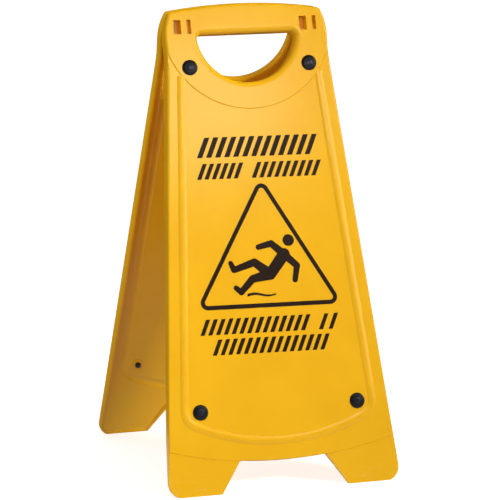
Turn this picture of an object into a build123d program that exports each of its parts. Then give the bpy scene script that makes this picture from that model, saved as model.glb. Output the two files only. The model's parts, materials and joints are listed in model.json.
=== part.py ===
"""Two-leaf folding floor sign: two identical moulded leaves, two hinge pins and eight push rivets.

Units are millimetres. The open sign stands on Z = 0 and is centred on X and Y; +X runs along the hinge,
-Y is the front. A leaf is described in its own plane: x across, y up the leaf from the datum line at the
handle, and z outwards from the printed face. Depth is measured inwards from that face.
"""
from build123d import *
import os
from math import cos, radians, sin, tan

# Stance: the datum line of each leaf is LEAF_LENGTH above its feet, measured along the leaf
LEAF_LENGTH = 640.0
LEAN = 15.76
DATUM_OFFSET = 12.0
STOP_GAP = 0.1

# Leaf outline
TOP_HALF_WIDTH = 105.7
TOP_CORNER_Y = 2.7
TOP_PEAK_Y = 11.0
TOP_CORNER_RADIUS = 6.5
HEAD_HALF_WIDTH = 113.6
HEAD_WIDEST_Y = -34.0
NECK_HALF_WIDTH = 113.0
NECK_Y = -58.0
NECK_RADIUS = 60.0
FOOT_HALF_WIDTH = 161.8
FOOT_CORNER_RADIUS = 20.0
FOOT_INNER_X = 88.6
FOOT_INNER_RADIUS = 4.0
NOTCH_X = 60.0
NOTCH_CORNER_Y = -597.5
NOTCH_PEAK_Y = -600.5
NOTCH_CORNER_RADIUS = 3.0

# Walls and rims
SKIN = 3.0
WALL = 3.0
HEAD_EDGE_RADIUS = 3.2
HEAD_EDGE_TO_Y = -62.0
FOOT_EDGE_RADIUS = 1.5
FOOT_EDGE_FROM_Y = -590.0
INNER_RADIUS = 3.0
RIM_FULL_TO_Y = -430.0
RIM_TAPER_Y = -560.0
RIM_TAPER_DEPTH = 14.5
RIM_ANKLE_Y = -605.0
RIM_ANKLE_DEPTH = 9.0
RIM_TOE_DEPTH = 4.5

# Hand opening: a half disc with a flat top
OPENING_RADIUS = 69.5
OPENING_CENTRE_Y = -24.5
OPENING_TOP_Y = -28.2
OPENING_CORNER_RADIUS = 6.0
GRIP_RADIUS = 8.0

# Raised head pad, stiffening bead and foot step
PAD_HEIGHT = 1.0
PAD_RADIUS = 119.8
PAD_SLOPE = 1.4
PAD_CENTRE_Y = -11.5
PAD_FADE_Y = -72.0
BEAD_WIDTH = 12.0
BEAD_HEIGHT = 1.8
BEAD_TOP_X = 96.0
BEAD_TOP_Y = -83.0
BEAD_LOW_X = 130.5
BEAD_LOW_Y = -528.0
BEAD_CORNER_X = 119.0
BEAD_CORNER_Y = -548.0
BEAD_BOTTOM_Y = -574.5
STEP_DEPTH = 0.8
STEP_RADIUS = 562.0
STEP_SLOPE = 1.2
STEP_CENTRE_Y = -39.5

# Hinge
HINGE_V = 17.5
PIN_RADIUS = 3.0
PIN_CHAMFER = 0.5
PIN_PROUD = 1.0
RUNNING_CLEARANCE = 0.06
KNUCKLE_RADIUS = 7.0
KNUCKLE_WIDTH = 13.0
KNUCKLE_ROOT = 16.0
PRESSED_X = -96.0
RUNNING_X = 80.0
POCKET_HEIGHT = 19.0
POCKET_WALL = 1.5
POCKET_CORNER = 1.0
WIDE_POCKET = 10.0
WIDE_POCKET_DEPTH = 9.0
NARROW_POCKET = 5.5
NARROW_POCKET_DEPTH = 6.0
NARROW_POCKET_FLOOR = 2.0

# Push rivets
RIVET_UPPER = (83.5, -72.4)
RIVET_LOWER = (109.2, -530.3)
RIVET_HOLE_RADIUS = 3.6
RIVET_SEAT_RADIUS = 8.0
RIVET_SEAT_HEIGHT = 1.0
HEAD_RADIUS = 10.4
HEAD_HEIGHT = 2.6
HEAD_RIM = 0.8
HEAD_RECESS_RADIUS = 5.4
HEAD_RECESS_DEPTH = 1.0
SHANK_RADIUS = 3.4
TAIL_RADIUS = 4.1
TAIL_LENGTH = 4.0
DRIVE_RADIUS = 1.8
DRIVE_HEAD_RADIUS = 5.0
DRIVE_HEAD_HEIGHT = 1.4
DRIVE_RIM = 0.6
DRIVE_PROUD = 0.8

# Worked out from the dimensions above
DATUM_HEIGHT = LEAF_LENGTH * cos(radians(LEAN))
HINGE_DEPTH = (DATUM_OFFSET + HINGE_V * sin(radians(LEAN))) / cos(radians(LEAN))
HINGE_Z = DATUM_HEIGHT - HINGE_V * cos(radians(LEAN)) - HINGE_DEPTH * sin(radians(LEAN))
RIM_DEPTH = HINGE_DEPTH - STOP_GAP
FLOOR_ALLOWANCE = 0.6
FAR = 60.0

os.makedirs("parts", exist_ok=True)


def leaf_plane(facing):
    """The printed face's plane: x across, y up the leaf, z outwards. Facing is 1 in front, -1 behind."""
    return Plane(
        origin=(0, -facing * DATUM_OFFSET, DATUM_HEIGHT),
        x_dir=(facing, 0, 0),
        z_dir=(0, -facing * cos(radians(LEAN)), sin(radians(LEAN))),
    )


def side_plane(leaf, across):
    """A section plane square to the hinge: x up the leaf, y outwards."""
    centre = leaf.from_local_coords(Vector(across, 0, 0))
    return Plane(origin=centre, x_dir=leaf.y_dir, z_dir=leaf.x_dir)


def outline(leaf, shrink=0.0):
    """The leaf's outline, moved inwards by an amount. The feet run a little past the floor."""
    toe_y = -LEAF_LENGTH - FLOOR_ALLOWANCE
    with BuildSketch(leaf) as sketch:
        with BuildLine():
            ThreePointArc((-TOP_HALF_WIDTH, TOP_CORNER_Y), (0, TOP_PEAK_Y), (TOP_HALF_WIDTH, TOP_CORNER_Y))
            for side in (-1, 1):
                neck = Line((side * NECK_HALF_WIDTH, NECK_Y), (side * HEAD_HALF_WIDTH, HEAD_WIDEST_Y))
                TangentArc(neck @ 1, (side * TOP_HALF_WIDTH, TOP_CORNER_Y), tangent=neck % 1)
                Polyline(
                    neck @ 0,
                    (side * FOOT_HALF_WIDTH, toe_y),
                    (side * FOOT_INNER_X, toe_y),
                    (side * NOTCH_X, NOTCH_CORNER_Y),
                )
            ThreePointArc((-NOTCH_X, NOTCH_CORNER_Y), (0, NOTCH_PEAK_Y), (NOTCH_X, NOTCH_CORNER_Y))
        make_face()
        if shrink:
            offset(amount=-shrink, kind=Kind.INTERSECTION)
        corners = (
            (TOP_HALF_WIDTH, TOP_CORNER_Y, TOP_CORNER_RADIUS - shrink),
            (NECK_HALF_WIDTH, NECK_Y, NECK_RADIUS + shrink),
            (FOOT_HALF_WIDTH, toe_y, FOOT_CORNER_RADIUS - shrink),
            (FOOT_INNER_X, toe_y, FOOT_INNER_RADIUS - shrink),
            (NOTCH_X, NOTCH_CORNER_Y, NOTCH_CORNER_RADIUS + shrink),
        )
        for x, y, radius in corners:
            for side in (-1, 1):
                fillet(sketch.vertices().sort_by_distance((side * x, y))[0], radius)
    return sketch.sketch


def rounding_section(leaf, edge, share):
    """The section of what is taken off the leaf's edge, at a share of the way along an outline edge."""
    point = edge @ share
    along = edge % share
    inwards = leaf.z_dir.cross(along)
    if inwards.dot(leaf.from_local_coords(Vector(0, -LEAF_LENGTH / 2, 0)) - point) < 0:
        inwards = -inwards
    up = leaf.to_local_coords(point).Y
    sink = min(max((HEAD_EDGE_TO_Y - up) / (HEAD_EDGE_TO_Y - FOOT_EDGE_FROM_Y), 0), 1)
    radius = HEAD_EDGE_RADIUS + sink * (FOOT_EDGE_RADIUS - HEAD_EDGE_RADIUS)
    top = PAD_HEIGHT if up > (NECK_Y + PAD_FADE_Y) / 2 else 0
    slack = 2.0
    with BuildSketch(Plane(origin=point, x_dir=inwards, z_dir=inwards.cross(leaf.z_dir))) as sketch:
        with BuildLine():
            RadiusArc((0, top - radius), (radius, top), radius)
            Polyline(
                (radius, top),
                (radius, top + slack),
                (-slack, top + slack),
                (-slack, top - radius),
                (0, top - radius),
            )
        make_face()
    return sketch.sketch


def rounding(leaf, edge):
    """What is taken off the leaf along one outline edge, to round it from the face into the side."""
    with BuildPart() as chip:
        if edge.geom_type == GeomType.CIRCLE:
            centre = edge.arc_center
            turn = (edge @ 0 - centre).get_signed_angle(edge @ 1 - centre, leaf.z_dir)
            pivot = Axis(centre, leaf.z_dir * (1 if turn > 0 else -1))
            revolve(rounding_section(leaf, edge, 0), axis=pivot, revolution_arc=abs(turn))
        else:
            ends = [leaf.to_local_coords(edge @ share).Y for share in (0, 1)]
            shares = [0, 1]
            if min(ends) < PAD_FADE_Y < max(ends):
                shares.insert(1, (PAD_FADE_Y - ends[0]) / (ends[1] - ends[0]))
            loft([rounding_section(leaf, edge, share) for share in shares], ruled=True)
    return chip.part


def hand_opening(leaf, grow=0.0):
    """The hand opening's outline, moved outwards by an amount."""
    drop = OPENING_CENTRE_Y - OPENING_TOP_Y
    half = (OPENING_RADIUS**2 - drop**2) ** 0.5
    with BuildSketch(leaf) as sketch:
        with BuildLine():
            Line((-half, OPENING_TOP_Y), (half, OPENING_TOP_Y))
            ThreePointArc(
                (-half, OPENING_TOP_Y), (0, OPENING_CENTRE_Y - OPENING_RADIUS), (half, OPENING_TOP_Y)
            )
        make_face()
        fillet(sketch.vertices(), OPENING_CORNER_RADIUS)
        if grow:
            offset(amount=grow)
    return sketch.sketch


def rim_profile(leaf):
    """The leaf's outer shape in side view: the stop face at the top, then the rim's depth down to the toe."""
    top = 20.0
    face = 2 * PAD_HEIGHT
    stop_top = (DATUM_OFFSET - STOP_GAP - top * sin(radians(LEAN))) / cos(radians(LEAN))
    stop_low = (RIM_DEPTH * cos(radians(LEAN)) - DATUM_OFFSET + STOP_GAP) / sin(radians(LEAN))
    with BuildSketch(side_plane(leaf, 0)) as sketch:
        with BuildLine():
            Polyline(
                (top, face),
                (top, -stop_top),
                (-stop_low, -RIM_DEPTH),
                (RIM_FULL_TO_Y, -RIM_DEPTH),
                (RIM_TAPER_Y, -RIM_TAPER_DEPTH),
                (RIM_ANKLE_Y, -RIM_ANKLE_DEPTH),
                (-LEAF_LENGTH + RIM_TOE_DEPTH * tan(radians(LEAN)), -RIM_TOE_DEPTH),
                (-LEAF_LENGTH - face * tan(radians(LEAN)), face),
                close=True,
            )
        make_face()
    return sketch.sketch


def disc_step(leaf, low, high, centre_y, radius, slope):
    """A flat-topped round step between two heights, with a sloped rim, kept inside the leaf's outline."""
    with BuildPart() as step:
        with BuildSketch(leaf.offset(low)):
            with Locations((0, centre_y)):
                Circle(radius)
        with BuildSketch(leaf.offset(high)):
            with Locations((0, centre_y)):
                Circle(radius - slope)
        loft()
        extrude(outline(leaf), amount=2 * PAD_HEIGHT, both=True, mode=Mode.INTERSECT)
    return step.part


def foot_step(leaf):
    """The thin layer taken off the feet below a wide curved line."""
    with BuildPart() as layer:
        extrude(outline(leaf, -PAD_HEIGHT), amount=STEP_DEPTH, both=True)
        with BuildSketch(leaf.offset(-STEP_DEPTH)):
            with Locations((0, STEP_CENTRE_Y)):
                Circle(STEP_RADIUS)
        with BuildSketch(leaf.offset(STEP_DEPTH)):
            with Locations((0, STEP_CENTRE_Y)):
                Circle(STEP_RADIUS - STEP_SLOPE)
        loft(mode=Mode.SUBTRACT)
    return layer.part


def cavity(leaf):
    """The hollow behind the skin, with a wall left along the outline and round the hand opening."""
    with BuildPart() as hollow:
        extrude(outline(leaf, WALL), amount=-FAR)
        extrude(hand_opening(leaf, WALL), amount=FAR, both=True, mode=Mode.SUBTRACT)
        outwards = Axis(leaf.origin, leaf.z_dir)
        floor = hollow.faces().filter_by(outwards).sort_by(outwards)[-1]
        fillet(floor.edges(), INNER_RADIUS)
    return Pos(*(leaf.z_dir * -SKIN)) * hollow.part


def bead(leaf, depth):
    """A low rounded ridge round the printed field, at a depth below the face."""
    swell = (BEAD_WIDTH**2 / 4 + BEAD_HEIGHT**2) / (2 * BEAD_HEIGHT)
    with BuildPart() as ridge:
        with BuildLine(leaf.offset(-depth)) as path:
            left = Line((-BEAD_TOP_X, BEAD_TOP_Y), (-BEAD_LOW_X, BEAD_LOW_Y))
            turn = TangentArc(left @ 1, (-BEAD_CORNER_X, BEAD_CORNER_Y), tangent=left % 1)
            ThreePointArc(turn @ 1, (0, BEAD_BOTTOM_Y), (BEAD_CORNER_X, BEAD_CORNER_Y))
            right = Line((BEAD_TOP_X, BEAD_TOP_Y), (BEAD_LOW_X, BEAD_LOW_Y))
            TangentArc(right @ 1, (BEAD_CORNER_X, BEAD_CORNER_Y), tangent=right % 1)
        start = leaf.offset(-depth).from_local_coords(Vector(-BEAD_TOP_X, BEAD_TOP_Y, 0))
        with BuildSketch(Plane(origin=start, x_dir=leaf.z_dir, z_dir=path.wire() % 0)):
            with Locations((BEAD_HEIGHT - swell, 0)):
                Circle(swell)
        sweep()
    return ridge.part


def knuckle(leaf, across, bore_radius):
    """A rib from the skin to the hinge axis, rounded about its bore."""
    root = -SKIN / 2
    with BuildPart() as rib:
        with BuildSketch(side_plane(leaf, across)):
            with BuildLine():
                Polyline(
                    (-HINGE_V + KNUCKLE_ROOT, root),
                    (-HINGE_V - KNUCKLE_ROOT, root),
                    (-HINGE_V - KNUCKLE_RADIUS, -HINGE_DEPTH),
                    (-HINGE_V + KNUCKLE_RADIUS, -HINGE_DEPTH),
                    close=True,
                )
            make_face()
            with Locations((-HINGE_V, -HINGE_DEPTH)):
                Circle(KNUCKLE_RADIUS)
                Circle(bore_radius, mode=Mode.SUBTRACT)
        extrude(amount=KNUCKLE_WIDTH / 2, both=True)
    return rib.part


def pocket(leaf, across, width, depth, grow=0.0):
    """A blind pocket in the face, or with growth, the block that its floor and walls are left from."""
    with BuildPart() as block:
        with BuildSketch(leaf.offset(-depth)):
            with Locations((across, -HINGE_V)):
                RectangleRounded(width + 2 * grow, POCKET_HEIGHT + 2 * grow, POCKET_CORNER)
        extrude(amount=depth + (2 * PAD_HEIGHT if grow == 0 else 0))
    return block.part


def rivet_places(leaf):
    """The planes of the four rivets, on the face under each head: two on the head pad, two below."""
    places = []
    for (across, up), face in ((RIVET_UPPER, PAD_HEIGHT), (RIVET_LOWER, 0)):
        for side in (-1, 1):
            origin = leaf.from_local_coords(Vector(side * across, up, face))
            places.append(Plane(origin=origin, x_dir=leaf.x_dir, z_dir=leaf.z_dir))
    return places


def rivet_seat(seat, face):
    """The thickened ring behind the skin that a rivet's tail bears on."""
    with BuildPart() as ring:
        with BuildSketch(seat.offset(-face - SKIN - RIVET_SEAT_HEIGHT)):
            Circle(RIVET_SEAT_RADIUS)
        extrude(amount=RIVET_SEAT_HEIGHT + SKIN / 2)
    return ring.part


def make_leaf(name, leaf):
    """One moulded leaf with its rims, grip, knuckles and rivet seats."""
    outwards = Axis(leaf.origin, leaf.z_dir)
    with BuildPart() as moulding:
        extrude(outline(leaf), amount=-RIM_DEPTH - 2)
        add(disc_step(leaf, 0, PAD_HEIGHT, PAD_CENTRE_Y, PAD_RADIUS, PAD_SLOPE))
        for edge in outline(leaf).edges():
            add(rounding(leaf, edge), mode=Mode.SUBTRACT)
        add(foot_step(leaf), mode=Mode.SUBTRACT)
        extrude(rim_profile(leaf), amount=FAR * 4, both=True, mode=Mode.INTERSECT)
        extrude(hand_opening(leaf), amount=FAR, both=True, mode=Mode.SUBTRACT)
        head = moulding.faces().filter_by(outwards).sort_by(outwards)[-1]
        fillet(head.inner_wires()[0].edges(), GRIP_RADIUS)
        add(bead(leaf, 0))
        add(cavity(leaf), mode=Mode.SUBTRACT)
        add(bead(leaf, SKIN), mode=Mode.SUBTRACT)
        narrow_depth = NARROW_POCKET_DEPTH + NARROW_POCKET_FLOOR
        knuckles = ((PRESSED_X, PIN_RADIUS), (RUNNING_X, PIN_RADIUS + RUNNING_CLEARANCE))
        for across, bore_radius in knuckles:
            add(knuckle(leaf, across, bore_radius))
            add(pocket(leaf, -across, NARROW_POCKET, narrow_depth, POCKET_WALL))
            add(pocket(leaf, across, WIDE_POCKET, WIDE_POCKET_DEPTH), mode=Mode.SUBTRACT)
            add(pocket(leaf, -across, NARROW_POCKET, NARROW_POCKET_DEPTH), mode=Mode.SUBTRACT)
        for seat in rivet_places(leaf):
            add(rivet_seat(seat, leaf.to_local_coords(seat.origin).Z))
            with BuildSketch(seat):
                Circle(RIVET_HOLE_RADIUS)
            extrude(amount=-2 * RIM_DEPTH, mode=Mode.SUBTRACT)
    moulding.part.label = name
    return moulding.part


def make_pin(name, low_x, high_x):
    """A plain dowel on the hinge axis, with chamfered ends."""
    with BuildPart() as pin:
        with BuildSketch(Plane(origin=(low_x, 0, HINGE_Z), z_dir=(1, 0, 0))):
            Circle(PIN_RADIUS)
        extrude(amount=high_x - low_x)
        chamfer(pin.edges().filter_by(GeomType.CIRCLE), PIN_CHAMFER)
    pin.part.label = name
    return pin.part


def half_section(place):
    """The plane that holds a rivet's axis as its y direction, pointing outwards."""
    return Plane(origin=place.origin, x_dir=place.x_dir, z_dir=place.x_dir.cross(place.z_dir))


def make_rivet_body(name, place, grip):
    """A push rivet's body: a dished round head, and a hollow shank that swells behind the skin."""
    tip = -grip - TAIL_LENGTH
    with BuildPart() as body:
        with BuildSketch(half_section(place)):
            with BuildLine():
                Polyline(
                    (DRIVE_RADIUS, tip),
                    (SHANK_RADIUS, tip),
                    (TAIL_RADIUS, tip + TAIL_LENGTH / 2),
                    (SHANK_RADIUS, -grip),
                    (SHANK_RADIUS, 0),
                    (HEAD_RADIUS, 0),
                    (HEAD_RADIUS, HEAD_RIM),
                )
                crown = ThreePointArc(
                    (HEAD_RADIUS, HEAD_RIM),
                    ((HEAD_RADIUS + HEAD_RECESS_RADIUS) / 2, HEAD_HEIGHT - HEAD_RIM / 2),
                    (HEAD_RECESS_RADIUS, HEAD_HEIGHT),
                )
                Polyline(
                    crown @ 1,
                    (HEAD_RECESS_RADIUS, HEAD_HEIGHT - HEAD_RECESS_DEPTH),
                    (DRIVE_RADIUS, HEAD_HEIGHT - HEAD_RECESS_DEPTH),
                    (DRIVE_RADIUS, tip),
                )
            make_face()
        revolve(axis=Axis(place.origin, place.z_dir))
    body.part.label = name
    return body.part


def make_drive_pin(name, place, grip):
    """The pin pushed through a rivet's body to spread its tail, with a low domed head in the recess."""
    tip = -grip - TAIL_LENGTH - DRIVE_PROUD
    seat = HEAD_HEIGHT - HEAD_RECESS_DEPTH
    with BuildPart() as pin:
        with BuildSketch(half_section(place)):
            with BuildLine():
                crown = TangentArc(
                    (0, seat + DRIVE_HEAD_HEIGHT), (DRIVE_HEAD_RADIUS, seat + DRIVE_RIM), tangent=(1, 0)
                )
                Polyline(
                    crown @ 1,
                    (DRIVE_HEAD_RADIUS, seat),
                    (DRIVE_RADIUS, seat),
                    (DRIVE_RADIUS, tip),
                    (0, tip),
                    crown @ 0,
                )
            make_face()
        revolve(axis=Axis(place.origin, place.z_dir))
    pin.part.label = name
    return pin.part


front = leaf_plane(1)
rear = leaf_plane(-1)
reach = KNUCKLE_WIDTH / 2 + PIN_PROUD
parts = [
    make_leaf("front_leaf", front),
    make_leaf("rear_leaf", rear),
    make_pin("hinge_pin_left", PRESSED_X - reach, -RUNNING_X + reach),
    make_pin("hinge_pin_right", RUNNING_X - reach, -PRESSED_X + reach),
]
corners = ("upper_left", "upper_right", "lower_left", "lower_right")
for leaf_name, leaf in (("front", front), ("rear", rear)):
    for corner, place in zip(corners, rivet_places(leaf)):
        face = leaf.to_local_coords(place.origin).Z
        grip = face + SKIN + RIVET_SEAT_HEIGHT
        parts.append(make_rivet_body(f"{leaf_name}_rivet_body_{corner}", place, grip))
        parts.append(make_drive_pin(f"{leaf_name}_rivet_pin_{corner}", place, grip))

for part in parts:
    export_step(part, f"parts/{part.label}.step")
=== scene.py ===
"""Looks of a folding wet floor sign: moulded leaves, push rivets, and the black print on each leaf's face.

Everything is in metres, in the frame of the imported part: +Z up, +X along the hinge, -Y the front.
Layouts of the print are in millimetres on the leaf: x across from its middle, y up from the floor line.
"""
import json
from math import atan2, cos, degrees, radians, sin, tau

import bmesh
import bpy
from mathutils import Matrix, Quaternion, Vector
from mathutils.bvhtree import BVHTree
from mathutils.geometry import delaunay_2d_cdt


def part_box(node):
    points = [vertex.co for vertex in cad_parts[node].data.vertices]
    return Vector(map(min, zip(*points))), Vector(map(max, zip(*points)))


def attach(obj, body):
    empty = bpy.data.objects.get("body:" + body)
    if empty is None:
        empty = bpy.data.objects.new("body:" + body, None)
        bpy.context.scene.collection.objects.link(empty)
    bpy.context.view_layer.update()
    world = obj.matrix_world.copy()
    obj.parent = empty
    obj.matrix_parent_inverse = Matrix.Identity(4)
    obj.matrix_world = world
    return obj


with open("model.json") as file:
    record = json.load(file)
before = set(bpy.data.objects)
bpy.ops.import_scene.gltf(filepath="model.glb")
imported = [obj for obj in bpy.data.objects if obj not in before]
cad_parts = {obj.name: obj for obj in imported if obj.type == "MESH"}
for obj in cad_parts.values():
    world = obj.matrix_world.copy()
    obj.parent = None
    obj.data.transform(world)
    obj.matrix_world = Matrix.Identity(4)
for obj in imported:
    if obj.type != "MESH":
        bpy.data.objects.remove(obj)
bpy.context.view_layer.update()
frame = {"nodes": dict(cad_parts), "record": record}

MM = 0.001

# Camera
CAMERA_AZIMUTH = radians(-17.617)
CAMERA_ELEVATION = radians(10.486)
CAMERA_ROLL = radians(-0.263)
CAMERA_DISTANCE = 4.0388
CAMERA_TARGET = Vector((0.0096, 0.0, 0.2887))
CAMERA_LENS = 213.07
CAMERA_REACH = 100.0
SENSOR_WIDTH = 36.0

# Moulded plastic: slow drift between two tones, a fine spark grain and the slow waviness of a moulding
TONE_SCALE = 14.0
TONE_DETAIL = 4.0
TONE_STOPS = (0.35, 0.65)
GRAIN_DETAIL = 3.0
GRAIN_HARSHNESS = 0.6
GRAIN_HEIGHT = 0.015 * MM
WAVINESS_SCALE = 55.0
WAVINESS_DETAIL = 2.0
WAVINESS_HEIGHT = 0.06 * MM
NOISE_SPAN = (0.3, 0.7)

# Rubs on the feet
SCUFF_TOP = 0.055
SCUFF_STRENGTH = 0.16
SCUFF_COLOUR = (0.95, 0.62, 0.12, 1.0)
SCUFF_ROUGHNESS = 0.5
SCUFF_SCALE = 90.0
SCUFF_DETAIL = 6.0
SCUFF_HARSHNESS = 0.65
SCUFF_FLATTENING = 3.0
SCUFF_SPREAD = (-1.4, 1.2)

# Ink: its thickness, how far it reaches into the leaf, and where the print turns a little on the face
INK_HEIGHT = 0.08 * MM
INK_SINK = 0.05 * MM
PRINT_TURN = radians(-0.8)
PRINT_PIVOT = 320.0
PROBE_DISTANCE = 1.0
PROBE_HEIGHTS = (0.35, 0.6)
INSIDE_OUTLINES = 1
JOIN_DISTANCE = 1e-4
ARC_STEPS = 12

# Blocks of slanted bars: left, right, low, high and the pitch of the bars
WORD_BLOCKS = (
    (-86.0, 84.0, 445.0, 472.0, 13.0),
    (-88.0, -22.0, 416.0, 437.0, 10.5),
    (-12.0, 87.0, 416.0, 437.0, 10.5),
    (-99.0, 56.0, 209.0, 230.0, 10.5),
    (66.0, 95.0, 209.0, 230.0, 10.5),
    (-84.0, 81.0, 182.0, 203.0, 10.5),
)
BLOCK_SLANT = 0.45
BAR_SHARE = 0.56

# Rounded triangle
TRIANGLE_STROKE = 5.8
TRIANGLE_RADIUS = 10.0
TRIANGLE_APEX = (0.0, 398.0)
TRIANGLE_BASE = (85.2, 252.2)

# Slipping figure: the joints of each limb from the body outwards, and the limb's radius at each joint
HIP = (4.0, 286.0)
SHOULDER = (25.0, 312.0)
TORSO_RADII = (8.2, 7.6)
LEGS = (
    (HIP, (-17.0, 303.0), (-46.0, 294.0), (-50.0, 303.0)),
    (HIP, (-21.0, 281.0), (-38.0, 264.0), (-45.0, 270.0)),
)
LEG_RADII = (7.4, 5.2, 4.2, 3.4)
ARMS = (
    (SHOULDER, (8.0, 327.0), (-10.0, 323.0)),
    (SHOULDER, (42.0, 296.0), (38.0, 277.0)),
)
ARM_RADII = (5.6, 4.5, 3.7)
HEAD_CENTRE = (32.5, 330.5)
HEAD_RADIUS = 8.0
HEAD_POINTS = 24

# Wavy line under the figure
WAVE_START = -30.0
WAVE_LENGTH = 40.0
WAVE_Y = 259.5
WAVE_SWELL = 1.6
WAVE_THICKNESS = 4.0
WAVE_TAPER = 0.5
WAVE_STEPS = 24

# Floor
FLOOR_SIZE = 60.0
FLOOR_COLOUR = (0.86, 0.86, 0.86, 1)
FLOOR_ROUGHNESS = 0.9
FLOOR_SPECULAR = 0.1
FLOOR_GLOW = 0.62
WHITE = (1, 1, 1, 1)

# Surroundings: brighter above than below, and brighter on the left by SIDE
SKY = 0.58
GROUND = 0.26
SKY_BLEND = (-0.6, 0.1)
SIDE = 0.42

# Softboxes: place, aim, size and power, then the beam in degrees where it is narrowed
KEY = ((2.3, -2.7, 2.0), (-0.62, -0.14, 0.3), (0.7, 0.7), 6.4, 36.0)
REAR_FILL = ((-1.2, -0.75, 0.25), (-0.05, 0.06, 0.4), (0.4, 0.4), 0.11, 30.0)
FACE_SHEEN = ((0.128, -0.657, 0.773), (-0.07, -0.046, 0.496), (0.27, 0.2), 0.85)
SIDE_SHEEN = ((1.3, -0.85, 0.95), (0.0, -0.05, 0.5), (1.0, 1.0), 9.0)
FLOOR_SHEEN = ((0.2, -1.1, 0.002), (0.2, -1.1, 1.0), (2.6, 2.6), 15.0)
WHOLE_BEAM = 180.0


# ---------------------------------------------------------------- materials

def new_material(name):
    """A new node material, with its nodes and links."""
    material = bpy.data.materials.new(name)
    material.use_nodes = True
    return material, material.node_tree.nodes, material.node_tree.links


def noise(nodes, links, coords, scale, detail, harshness=0.5):
    """A noise texture in the frame's metres."""
    texture = nodes.new("ShaderNodeTexNoise")
    texture.inputs["Scale"].default_value = scale
    texture.inputs["Detail"].default_value = detail
    texture.inputs["Roughness"].default_value = harshness
    links.new(coords, texture.inputs["Vector"])
    return texture.outputs["Fac"]


def two_tones(nodes, links, factor, tones):
    """A blend from one colour to another as a factor rises."""
    band = nodes.new("ShaderNodeValToRGB")
    for element, position, tone in zip(band.color_ramp.elements, TONE_STOPS, tones):
        element.position = position
        element.color = (*tone, 1.0)
    links.new(factor, band.inputs["Fac"])
    return band.outputs["Color"]


def map_range(nodes, links, value, source, target):
    """A value carried from one range to another, and held inside it."""
    stretch = nodes.new("ShaderNodeMapRange")
    for ends, name in ((source, "From"), (target, "To")):
        stretch.inputs[f"{name} Min"].default_value = ends[0]
        stretch.inputs[f"{name} Max"].default_value = ends[1]
    links.new(value, stretch.inputs["Value"])
    return stretch.outputs["Result"]


def multiply(nodes, links, first, second, clamp=False):
    """The product of two values."""
    product = nodes.new("ShaderNodeMath")
    product.operation = "MULTIPLY"
    product.use_clamp = clamp
    links.new(first, product.inputs[0])
    links.new(second, product.inputs[1])
    return product.outputs["Value"]


def bump(nodes, links, height, distance, before=None):
    """A bump of a height in metres, on top of the one before."""
    relief = nodes.new("ShaderNodeBump")
    relief.inputs["Distance"].default_value = distance
    links.new(height, relief.inputs["Height"])
    if before:
        links.new(before, relief.inputs["Normal"])
    return relief.outputs["Normal"]


def moulded_plastic(name, tones, roughness, grain, specular=0.5):
    """A moulded plastic: two close tones, a fine spark grain and the slow waviness of a moulding."""
    material, nodes, links = new_material(name)
    shader = nodes["Principled BSDF"]
    coords = nodes.new("ShaderNodeTexCoord").outputs["Object"]
    drift = noise(nodes, links, coords, TONE_SCALE, TONE_DETAIL)
    links.new(two_tones(nodes, links, drift, tones), shader.inputs["Base Color"])
    fine = noise(nodes, links, coords, grain, GRAIN_DETAIL, GRAIN_HARSHNESS)
    slow = noise(nodes, links, coords, WAVINESS_SCALE, WAVINESS_DETAIL)
    links.new(map_range(nodes, links, fine, NOISE_SPAN, roughness), shader.inputs["Roughness"])
    relief = bump(nodes, links, slow, WAVINESS_HEIGHT)
    links.new(bump(nodes, links, fine, GRAIN_HEIGHT, relief), shader.inputs["Normal"])
    shader.inputs["Specular IOR Level"].default_value = specular
    return material


def add_scuffs(material):
    """Faint pale rubs on the feet, where a sign is dragged and kicked, fading out a little way up."""
    nodes, links = material.node_tree.nodes, material.node_tree.links
    shader = nodes["Principled BSDF"]
    coords = nodes.new("ShaderNodeTexCoord").outputs["Object"]
    flatten = nodes.new("ShaderNodeMapping")
    flatten.inputs["Scale"].default_value = (1.0, 1.0, SCUFF_FLATTENING)
    links.new(coords, flatten.inputs["Vector"])
    rubs = noise(nodes, links, flatten.outputs["Vector"], SCUFF_SCALE, SCUFF_DETAIL, SCUFF_HARSHNESS)
    streaks = map_range(nodes, links, rubs, NOISE_SPAN, SCUFF_SPREAD)
    split = nodes.new("ShaderNodeSeparateXYZ")
    links.new(coords, split.inputs["Vector"])
    fade = map_range(nodes, links, split.outputs["Z"], (0.0, SCUFF_TOP), (SCUFF_STRENGTH, 0.0))
    worn = multiply(nodes, links, streaks, fade, clamp=True)
    for name, rubbed in (("Base Color", SCUFF_COLOUR), ("Roughness", SCUFF_ROUGHNESS)):
        blend = nodes.new("ShaderNodeMix")
        blend.data_type = "RGBA" if name == "Base Color" else "FLOAT"
        factor, clean, scuffed = [socket for socket in blend.inputs if socket.enabled]
        result = next(socket for socket in blend.outputs if socket.enabled)
        links.new(worn, factor)
        links.new(shader.inputs[name].links[0].from_socket, clean)
        scuffed.default_value = rubbed
        links.new(result, shader.inputs[name])


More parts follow.
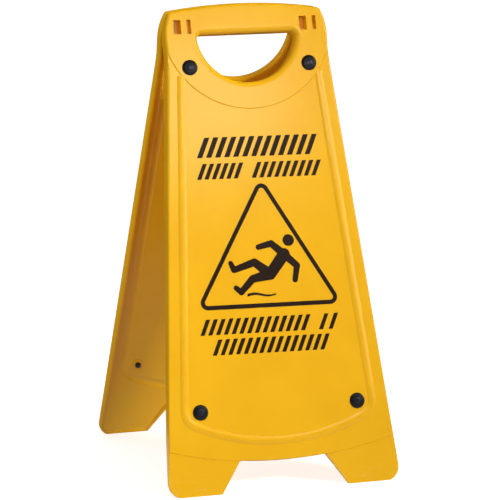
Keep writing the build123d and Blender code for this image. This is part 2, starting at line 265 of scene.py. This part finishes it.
YELLOW = moulded_plastic(
    "yellow_polypropylene",
    tones=((0.89, 0.45, 0.004), (0.93, 0.48, 0.005)),
    roughness=(0.22, 0.28),
    grain=1600.0,
    specular=0.38,
)
add_scuffs(YELLOW)
BLACK = moulded_plastic(
    "black_nylon",
    tones=((0.006, 0.005, 0.004), (0.01, 0.008, 0.006)),
    roughness=(0.34, 0.46),
    grain=2600.0,
    specular=0.34,
)
# Centre pins: smoother black nylon, whose lighter, bluish tone is a painted reflection of a bluish sky on
# the pins' heads
BLACK_CENTRE_PAINTED_REFLECTION = moulded_plastic(
    "black_nylon_painted_reflection",
    tones=((0.012, 0.015, 0.026), (0.018, 0.021, 0.033)),
    roughness=(0.24, 0.34),
    grain=2600.0,
    specular=0.4,
)
NATURAL = moulded_plastic(
    "natural_nylon",
    tones=((0.66, 0.63, 0.54), (0.72, 0.69, 0.6)),
    roughness=(0.32, 0.44),
    grain=2200.0,
)
INK = moulded_plastic(
    "screen_print_ink",
    tones=((0.018, 0.008, 0.004), (0.026, 0.012, 0.006)),
    roughness=(0.38, 0.52),
    grain=1800.0,
    specular=0.16,
)


# ---------------------------------------------------------------- print

class Face:
    """The flat printed face of a leaf: its floor line's middle and its own directions."""

    def __init__(self, leaf, facing):
        tree = BVHTree.FromObject(leaf, bpy.context.evaluated_depsgraph_get())
        low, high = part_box(leaf.name)
        hits = []
        for share in PROBE_HEIGHTS:
            start = Vector((0, -facing * PROBE_DISTANCE, low.z + share * (high.z - low.z)))
            hits.append(tree.ray_cast(start, Vector((0, facing, 0)))[0])
        up = (hits[1] - hits[0]).normalized()
        across = Vector((facing, 0, 0))
        self.out = across.cross(up)
        floor_line = hits[0] - up * (hits[0].z / up.z)
        self.pivot = floor_line + up * (PRINT_PIVOT * MM)
        turn = Quaternion(self.out, PRINT_TURN)
        self.print_across, self.print_up = turn @ across, turn @ up

    def at(self, x, y, out=0.0):
        """The point x across and y up the print, in millimetres, and a height off the face in metres."""
        along = self.print_across * (x * MM)
        rise = self.print_up * ((y - PRINT_PIVOT) * MM)
        return self.pivot + along + rise + self.out * out


def add_fill(mesh, face, outlines):
    """Closed flat ink over the union of some outlines, anticlockwise, which may overlap."""
    points, loops = [], []
    for outline in outlines:
        loops.append(range(len(points), len(points) + len(outline)))
        points += [Vector(point) for point in outline]
    corners, _, fills, *_ = delaunay_2d_cdt(points, [], loops, INSIDE_OUTLINES, JOIN_DISTANCE)
    tops = [mesh.verts.new(face.at(*corner, INK_HEIGHT)) for corner in corners]
    lows = [mesh.verts.new(face.at(*corner, -INK_SINK)) for corner in corners]
    sides = {(fill[i - 1], fill[i]) for fill in fills for i in range(len(fill))}
    for fill in fills:
        mesh.faces.new([tops[i] for i in fill])
        mesh.faces.new([lows[i] for i in reversed(fill)])
    for a, b in sorted(sides):
        if (b, a) not in sides:
            mesh.faces.new((tops[b], tops[a], lows[a], lows[b]))


def add_ribbon(mesh, face, left, right, closed=False):
    """A closed flat ribbon of ink between two lines of as many points."""
    rows = []
    for a, b in zip(left, right):
        section = ((*a, INK_HEIGHT), (*b, INK_HEIGHT), (*b, -INK_SINK), (*a, -INK_SINK))
        rows.append([mesh.verts.new(face.at(*corner)) for corner in section])
    count = len(rows)
    for i in range(count if closed else count - 1):
        here, there = rows[i], rows[(i + 1) % count]
        for k in range(len(here)):
            after = (k + 1) % len(here)
            mesh.faces.new((here[k], here[after], there[after], there[k]))
    if not closed:
        mesh.faces.new(rows[0][::-1])
        mesh.faces.new(rows[-1])


def finish_piece(name, mesh, material, body):
    """Turns a bmesh into a named piece that rides on a body."""
    bmesh.ops.recalc_face_normals(mesh, faces=mesh.faces)
    data = bpy.data.meshes.new(name)
    mesh.to_mesh(data)
    mesh.free()
    data.materials.append(material)
    piece = bpy.data.objects.new(name, data)
    bpy.context.scene.collection.objects.link(piece)
    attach(piece, body)


def striped_block(mesh, face, left, right, low, high, pitch):
    """A block of slanted bars that stands where a line of words would."""
    lean = BLOCK_SLANT * (high - low)
    bar = pitch * BAR_SHARE
    count = round((right - left - lean - bar) / pitch)
    step = (right - left - lean - bar) / count
    bars = []
    for i in range(count + 1):
        x = left + i * step
        bars.append(((x, low), (x + bar, low), (x + bar + lean, high), (x + lean, high)))
    add_fill(mesh, face, bars)


def arc(centre, radius, start, end, steps=ARC_STEPS):
    """Points along an arc, angles in degrees."""
    turns = [radians(start + (end - start) * i / steps) for i in range(steps + 1)]
    return [(centre[0] + radius * cos(t), centre[1] + radius * sin(t)) for t in turns]


def capsule(start, end, start_radius, end_radius):
    """The outline of one part of a limb, with round ends of two radii."""
    (x0, y0), (x1, y1) = start, end
    heading = degrees(atan2(y1 - y0, x1 - x0))
    far_end = arc(end, end_radius, heading - 90, heading + 90)
    near_end = arc(start, start_radius, heading + 90, heading + 270)
    return far_end + near_end


def limb(joints, radii):
    """The outlines of a limb's parts, from joint to joint."""
    return [capsule(*part) for part in zip(joints, joints[1:], radii, radii[1:])]


def rounded_triangle(radius):
    """A triangle's outline with round corners, anticlockwise from the lower right."""
    apex, (half, base) = TRIANGLE_APEX, TRIANGLE_BASE
    side = degrees(atan2(apex[1] - base, half))
    points = arc((half, base), radius, -90, 90 - side)
    points += arc(apex, radius, 90 - side, 90 + side)
    points += arc((-half, base), radius, 90 + side, 270)
    return points


def slipping_figure():
    """The figure's outlines: a person thrown back, with both heels sliding forwards."""
    outlines = limb((SHOULDER, HIP), TORSO_RADII)
    for leg in LEGS:
        outlines += limb(leg, LEG_RADII)
    for arm in ARMS:
        outlines += limb(arm, ARM_RADII)
    last_turn = 360 - 360 / HEAD_POINTS
    outlines.append(arc(HEAD_CENTRE, HEAD_RADIUS, 0, last_turn, HEAD_POINTS - 1))
    return outlines


def wet_line():
    """The two sides of the short wavy line under the figure."""
    left, right = [], []
    for i in range(WAVE_STEPS + 1):
        share = i / WAVE_STEPS
        x = WAVE_START + share * WAVE_LENGTH
        y = WAVE_Y + WAVE_SWELL * sin(tau * share)
        half = WAVE_THICKNESS / 2 * (1 - WAVE_TAPER * share)
        left.append((x, y + half))
        right.append((x, y - half))
    return left, right


def make_print(leaf_name, body, facing):
    """All of one leaf's print: blocks of slanted bars for the words, and the slip symbol."""
    face = Face(frame["nodes"][leaf_name], facing)
    side = leaf_name.split("_")[0]
    mesh = bmesh.new()
    for block in WORD_BLOCKS:
        striped_block(mesh, face, *block)
    finish_piece(f"{side}_print_blocks", mesh, INK, body)
    mesh = bmesh.new()
    outer = rounded_triangle(TRIANGLE_RADIUS)
    inner = rounded_triangle(TRIANGLE_RADIUS - TRIANGLE_STROKE)
    add_ribbon(mesh, face, outer, inner, closed=True)
    finish_piece(f"{side}_print_triangle", mesh, INK, body)
    mesh = bmesh.new()
    add_fill(mesh, face, slipping_figure())
    add_ribbon(mesh, face, *wet_line())
    finish_piece(f"{side}_print_figure", mesh, INK, body)


make_print("front_leaf", "front_leg", 1)
make_print("rear_leaf", "rear_leg", -1)


# ---------------------------------------------------------------- finish of the CAD nodes

FINISHES = {"leaf_yellow": YELLOW, "rivet_black": BLACK, "rivet_centre": BLACK_CENTRE_PAINTED_REFLECTION, "pin_nylon": NATURAL}
for part in frame["record"]["subparts"]:
    node = frame["nodes"][part["node"]]
    for slot in node.material_slots:
        slot.material = FINISHES[part["material_slot"]]


# ---------------------------------------------------------------- stage, lights and camera

def make_floor():
    """A pale studio floor that fills the view. It shows to the camera but lights nothing."""
    bpy.ops.mesh.primitive_plane_add(size=FLOOR_SIZE, location=(0, 0, 0))
    floor = bpy.context.object
    floor.name = "floor"
    floor.visible_diffuse = False
    floor.visible_glossy = False
    material, nodes, _ = new_material("pale_floor")
    shader = nodes["Principled BSDF"]
    shader.inputs["Base Color"].default_value = FLOOR_COLOUR
    shader.inputs["Roughness"].default_value = FLOOR_ROUGHNESS
    shader.inputs["Specular IOR Level"].default_value = FLOOR_SPECULAR
    shader.inputs["Emission Color"].default_value = WHITE
    shader.inputs["Emission Strength"].default_value = FLOOR_GLOW
    floor.data.materials.append(material)


def make_surroundings():
    """Soft white surroundings, dimmer below and to the right, which no surface mirrors."""
    world = bpy.data.worlds.new("studio")
    bpy.context.scene.world = world
    world.use_nodes = True
    world.cycles_visibility.glossy = False
    nodes, links = world.node_tree.nodes, world.node_tree.links
    coords = nodes.new("ShaderNodeTexCoord")
    split = nodes.new("ShaderNodeSeparateXYZ")
    links.new(coords.outputs["Generated"], split.inputs["Vector"])
    height = map_range(nodes, links, split.outputs["Z"], SKY_BLEND, (GROUND, SKY))
    side = map_range(nodes, links, split.outputs["X"], (-1.0, 1.0), (1 + SIDE, 1 - SIDE))
    background = nodes["Background"]
    background.inputs["Color"].default_value = WHITE
    links.new(multiply(nodes, links, height, side), background.inputs["Strength"])


def area_light(name, place, aim, size, power, beam=WHOLE_BEAM, sheen=False, only=None):
    """A softbox aimed at a point. It gives either sheen or broad light, to everything or to one node."""
    light = bpy.data.lights.new(name, "AREA")
    light.shape = "RECTANGLE"
    light.size, light.size_y = size
    light.energy = power
    light.spread = radians(beam)
    lamp = bpy.data.objects.new(name, light)
    lamp.location = place
    lamp.rotation_mode = "QUATERNION"
    lamp.rotation_quaternion = (Vector(aim) - Vector(place)).to_track_quat("-Z", "Y")
    lamp.visible_glossy = sheen
    lamp.visible_diffuse = not sheen
    lamp.visible_camera = False
    if only:
        lit = bpy.data.collections.new(f"lit_by_{name}")
        lit.objects.link(frame["nodes"][only])
        lamp.light_linking.receiver_collection = lit
    bpy.context.scene.collection.objects.link(lamp)


def make_lights():
    """A key from the upper right, a faint fill on the rear leaf alone, and three softboxes for sheen."""
    area_light("key", *KEY)
    area_light("rear_fill", *REAR_FILL, only="rear_leaf")
    area_light("face_sheen", *FACE_SHEEN, sheen=True)
    area_light("side_sheen", *SIDE_SHEEN, sheen=True)
    area_light("floor_sheen", *FLOOR_SHEEN, sheen=True)


def make_camera():
    """A long lens from a little left of the middle and above."""
    camera = bpy.data.objects.new("camera", bpy.data.cameras.new("camera"))
    camera.data.lens = CAMERA_LENS
    camera.data.sensor_width = SENSOR_WIDTH
    camera.data.clip_end = CAMERA_REACH
    back = Vector((
        sin(CAMERA_AZIMUTH) * cos(CAMERA_ELEVATION),
        -cos(CAMERA_AZIMUTH) * cos(CAMERA_ELEVATION),
        sin(CAMERA_ELEVATION),
    ))
    camera.location = CAMERA_TARGET + back * CAMERA_DISTANCE
    camera.rotation_mode = "QUATERNION"
    camera.rotation_quaternion = (-back).to_track_quat("-Z", "Y") @ Quaternion((0, 0, 1), CAMERA_ROLL)
    bpy.context.scene.collection.objects.link(camera)
    bpy.context.scene.camera = camera


make_floor()
make_surroundings()
make_lights()
make_camera()
bpy.context.scene.view_settings.view_transform = "Standard"
